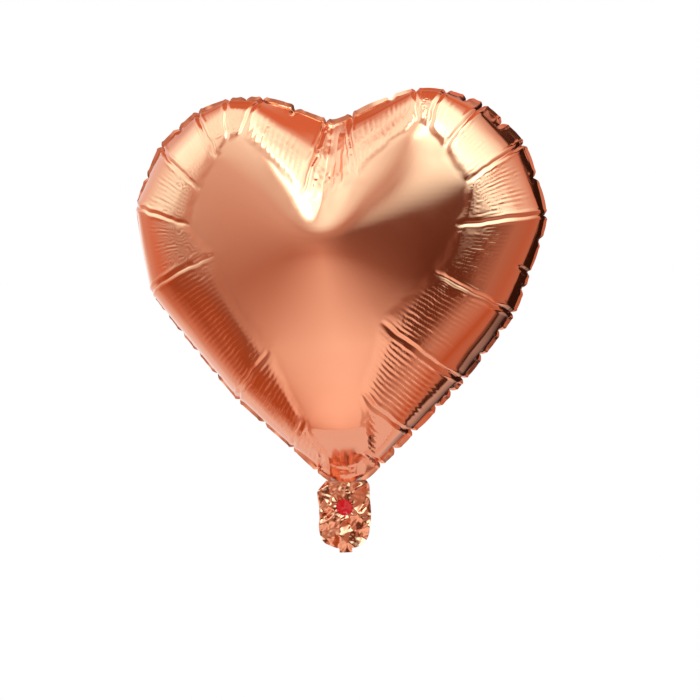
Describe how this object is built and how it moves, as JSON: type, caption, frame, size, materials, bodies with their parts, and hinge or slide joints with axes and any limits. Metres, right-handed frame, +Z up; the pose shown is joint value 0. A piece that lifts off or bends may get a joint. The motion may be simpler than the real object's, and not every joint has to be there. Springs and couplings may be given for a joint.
{
  "type": "heart-shaped foil balloon",
  "caption": "Inflated heart-shaped foil balloon of two heat-sealed film panels, with a folding filling tail and a self-sealing valve.",
  "frame": {"origin": "middle of the neck, on the fold line where the tail meets the heart, in the plane of the heat seal", "axes": "+Z up from the neck to the notch, +X across the lobes, -Y out of the front panel"},
  "size_m": [0.364, 0.169, 0.4085],
  "materials": {
    "foil": "mirror-bright metallised film in rose gold",
    "valve_film": "clear soft film",
    "valve_mark": "red print on film"
  },
  "bodies": {
    "heart": {"front_panel": "foil", "back_panel": "foil", "front_valve_film": "valve_film", "back_valve_film": "valve_film"},
    "tail": {"front_tail": "foil", "back_tail": "foil", "front_valve_mouth": "valve_film", "back_valve_mouth": "valve_film", "valve_mark": "valve_mark"}
  },
  "joints": [
    {"name": "tail_fold", "type": "hinge", "parent": "heart", "child": "tail", "pos_m": [0, 0, 0], "axis": [1, 0, 0], "range_deg": [-90, 90]}
  ]
}
